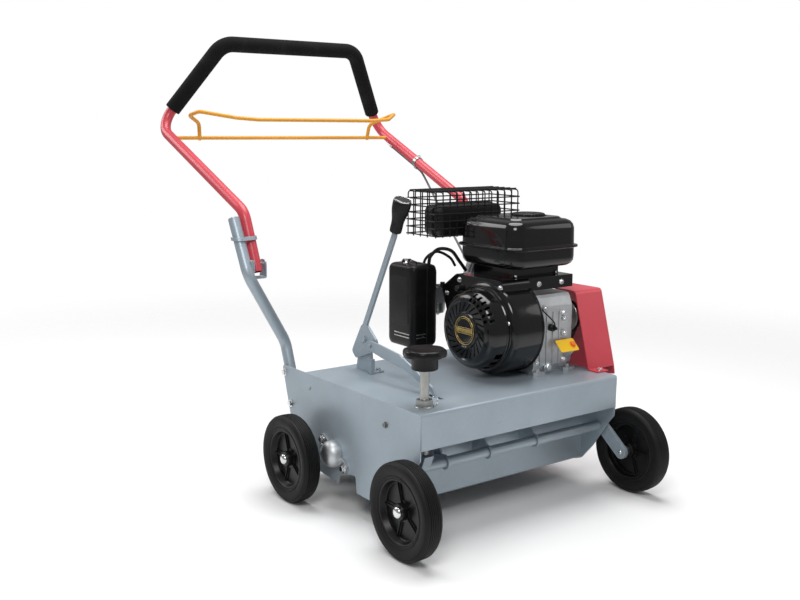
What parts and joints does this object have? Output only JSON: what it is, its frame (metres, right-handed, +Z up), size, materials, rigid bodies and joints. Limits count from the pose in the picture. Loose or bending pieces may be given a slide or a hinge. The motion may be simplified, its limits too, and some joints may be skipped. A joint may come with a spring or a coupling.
{
  "type": "power rake",
  "caption": "Walk-behind power rake: steel deck on four wheels with a knife reel under it, a small engine with a belt drive, a lift lever and a folding tube handle",
  "frame": {"origin": "On the ground, under the middle of the object's box.", "axes": "The front faces -Y, the machine's left side is +X and up is +Z."},
  "size_m": [0.7822, 1.1894, 1.0869],
  "materials": {
    "grey_paint": "metallic grey powder coat",
    "red_paint": "gloss powder coat",
    "orange_paint": "satin powder coat",
    "black_paint": "gloss black",
    "black_plastic": "moulded, satin",
    "zinc": "zinc plated",
    "cast_aluminium": "as cast",
    "tyre_rubber": "moulded rubber",
    "foam": "matt foam",
    "yellow_plastic": "moulded"
  },
  "bodies": {
    "frame": {"deck_housing": "grey_paint", "front_plate": "grey_paint", "rear_flap": "tyre_rubber", "depth_bush": "zinc", "lever_bracket": "grey_paint", "lower_handle_left": "grey_paint", "lower_handle_right": "grey_paint", "engine_crankcase": "cast_aluminium", "engine_cylinder": "cast_aluminium", "valve_cover": "cast_aluminium", "blower_housing": "black_paint", "recoil_cover": "black_paint", "fuel_tank": "black_paint", "air_filter_base": "black_plastic", "air_filter_cover": "black_plastic", "carburettor": "cast_aluminium", "muffler": "black_paint", "muffler_cage": "black_paint", "bearing_left": "cast_aluminium", "bearing_right": "cast_aluminium", "belt_guard": "red_paint", "belt_cover": "red_paint", "drive_belt": "tyre_rubber", "idler_stud": "zinc", "clutch_cable_free": "black_plastic"},
    "front_axle": {"front_axle_tube": "grey_paint", "crank_arm_left": "grey_paint", "crank_arm_right": "grey_paint"},
    "front_wheel_left": {"tyre_front_left": "tyre_rubber", "rim_front_left": "black_plastic"},
    "front_wheel_right": {"tyre_front_right": "tyre_rubber", "rim_front_right": "black_plastic"},
    "rear_wheel_left": {"tyre_rear_left": "tyre_rubber", "rim_rear_left": "black_plastic"},
    "rear_wheel_right": {"tyre_rear_right": "tyre_rubber", "rim_rear_right": "black_plastic"},
    "depth_screw_slide": {"depth_screw": "zinc"},
    "depth_knob_turn": {"depth_knob": "black_plastic"},
    "lift_lever_pivot": {"lift_lever": "grey_paint", "lever_grip": "black_plastic"},
    "lift_link_pivot": {"lift_link": "grey_paint"},
    "handle_fold": {"upper_handle": "red_paint", "foam_grip": "foam", "clutch_cable": "black_plastic", "cable_clamp": "zinc"},
    "bail_pivot": {"clutch_bail": "orange_paint"},
    "locking_ring_left_slide": {"locking_ring_left": "grey_paint"},
    "locking_ring_right_slide": {"locking_ring_right": "grey_paint"},
    "dipstick_slide": {"oil_dipstick": "yellow_plastic"},
    "starter_pull": {"starter_grip": "black_plastic"},
    "fuel_cap_turn": {"fuel_cap": "black_plastic"},
    "choke_turn": {"choke_lever": "black_plastic"},
    "reel_spin": {"reel": "zinc", "reel_pulley": "zinc"},
    "crank_spin": {"engine_pulley": "zinc", "crankshaft": "zinc"},
    "idler_swing": {"idler_arm": "zinc"},
    "idler_spin": {"idler_pulley": "black_plastic"}
  },
  "joints": [
    {"name": "front_axle_turn", "type": "hinge", "parent": "frame", "child": "front_axle", "pos_m": [0, -0.42773, 0.152], "axis": [1, 0, 0], "range_deg": [0, 30]},
    {"name": "front_wheel_left_spin", "type": "hinge", "parent": "front_axle", "child": "front_wheel_left", "pos_m": [0.333, -0.49313, 0.1], "axis": [1, 0, 0], "continuous": true},
    {"name": "front_wheel_right_spin", "type": "hinge", "parent": "front_axle", "child": "front_wheel_right", "pos_m": [-0.333, -0.49313, 0.1], "axis": [1, 0, 0], "continuous": true},
    {"name": "rear_wheel_left_spin", "type": "hinge", "parent": "frame", "child": "rear_wheel_left", "pos_m": [0.3486, -0.07573, 0.1], "axis": [1, 0, 0], "continuous": true},
    {"name": "rear_wheel_right_spin", "type": "hinge", "parent": "frame", "child": "rear_wheel_right", "pos_m": [-0.3486, -0.07573, 0.1], "axis": [1, 0, 0], "continuous": true},
    {"name": "depth_knob_spin", "type": "hinge", "parent": "depth_screw_slide", "child": "depth_knob_turn", "pos_m": [-0.239, -0.43173, 0.361], "axis": [0, 0, 1], "range_deg": [0, 1440]},
    {"name": "depth_screw_rise", "type": "slide", "parent": "frame", "child": "depth_screw_slide", "axis": [0, 0, 1], "range_m": [0, 0.012]},
    {"name": "lift_lever_swing", "type": "hinge", "parent": "frame", "child": "lift_lever_pivot", "pos_m": [-0.168, -0.11573, 0.362], "axis": [1, 0, 0], "range_deg": [-36, 0]},
    {"name": "lift_link_turn", "type": "hinge", "parent": "lift_lever_pivot", "child": "lift_link_pivot", "pos_m": [-0.168, -0.14573, 0.352], "axis": [1, 0, 0], "range_deg": [0, 36]},
    {"name": "handle_fold_swing", "type": "hinge", "parent": "frame", "child": "handle_fold", "pos_m": [0, 0.10123, 0.52674], "axis": [1, 0, 0], "range_deg": [0, 90], "deforming": ["clutch_cable_free"]},
    {"name": "clutch_bail_swing", "type": "hinge", "parent": "handle_fold", "child": "bail_pivot", "pos_m": [0, 0.52327, 0.817], "axis": [1, 0, 0], "range_deg": [-50, 0], "stiffness_Nm_per_rad": 0.6},
    {"name": "locking_ring_left_rise", "type": "slide", "parent": "handle_fold", "child": "locking_ring_left_slide", "axis": [0.0335, 0.348, 0.9369], "range_m": [0, 0.04]},
    {"name": "locking_ring_right_rise", "type": "slide", "parent": "handle_fold", "child": "locking_ring_right_slide", "axis": [-0.0335, 0.348, 0.9369], "range_m": [0, 0.04]},
    {"name": "dipstick_draw", "type": "slide", "parent": "frame", "child": "dipstick_slide", "axis": [0, -0.7071, 0.7071], "range_m": [0, 0.04]},
    {"name": "starter_grip_pull", "type": "slide", "parent": "frame", "child": "starter_pull", "axis": [0, 0.5, 0.866], "range_m": [0, 0.09], "stiffness_N_per_m": 15, "springref_m": -0.05},
    {"name": "fuel_cap_spin", "type": "hinge", "parent": "frame", "child": "fuel_cap_turn", "pos_m": [0.192, -0.27073, 0.6373], "axis": [0, 0, 1], "range_deg": [0, 100]},
    {"name": "choke_lever_turn", "type": "hinge", "parent": "frame", "child": "choke_turn", "pos_m": [0.07765, -0.07173, 0.4603], "axis": [0, 0, 1], "range_deg": [-35, 0]},
    {"name": "crankshaft_spin", "type": "hinge", "parent": "frame", "child": "crank_spin", "pos_m": [0.306, -0.29973, 0.395], "axis": [1, 0, 0], "continuous": true},
    {"name": "reel_turn", "type": "hinge", "parent": "frame", "child": "reel_spin", "pos_m": [0, -0.16373, 0.122], "axis": [1, 0, 0], "continuous": true},
    {"name": "idler_arm_swing", "type": "hinge", "parent": "frame", "child": "idler_swing", "pos_m": [0.306, -0.10573, 0.222], "axis": [1, 0, 0], "range_deg": [0, 3]},
    {"name": "idler_pulley_spin", "type": "hinge", "parent": "idler_swing", "child": "idler_spin", "pos_m": [0.306, -0.1827, 0.31019], "axis": [1, 0, 0], "continuous": true}
  ],
  "couplings": [
    {"joint": "lift_lever_swing", "follows": "front_axle_turn", "ratio": -1.2},
    {"joint": "lift_link_turn", "follows": "front_axle_turn", "ratio": 1.2},
    {"joint": "depth_knob_spin", "follows": "depth_screw_rise", "rad_per_m": 2094.4},
    {"joint": "crankshaft_spin", "follows": "reel_turn", "ratio": 1.1842},
    {"joint": "idler_arm_swing", "follows": "clutch_bail_swing", "ratio": -0.06}
  ]
}
